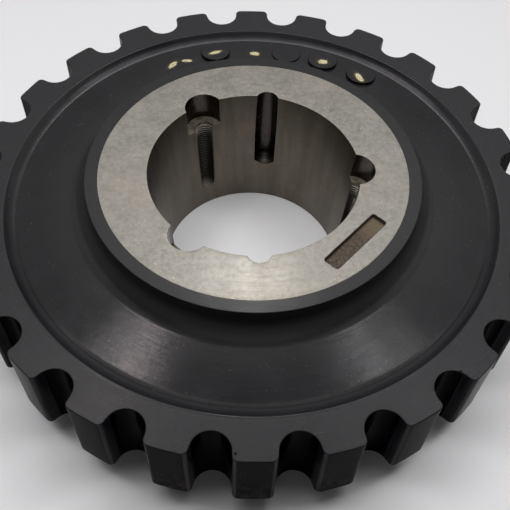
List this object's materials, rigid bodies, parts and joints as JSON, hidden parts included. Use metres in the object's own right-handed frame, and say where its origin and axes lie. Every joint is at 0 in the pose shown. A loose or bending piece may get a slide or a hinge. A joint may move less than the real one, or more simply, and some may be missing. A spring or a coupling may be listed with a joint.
{
  "type": "flexible drive coupling",
  "caption": "Toothed rubber disc bonded to a cast-iron hub with a tapered bush bore; its outer teeth slide into a matching internally toothed drive ring.",
  "frame": {"origin": "on the axis of rotation, at the lower face of the hub, which is the bottom centre of the bounding box", "axes": "+Z along the axis of rotation towards the large end of the tapered bore; -Y points at the side seen by the picture, +X to its right"},
  "size_m": [0.3478, 0.3478, 0.0889],
  "materials": {
    "rubber": "moulded black natural rubber, satin, slightly dusty",
    "hub_iron": "machined cast iron, oiled grey with light brown stain; the recess is as cast"
  },
  "bodies": {
    "root": {"rubber_element": "rubber", "taper_hub": "hub_iron"}
  },
  "joints": []
}
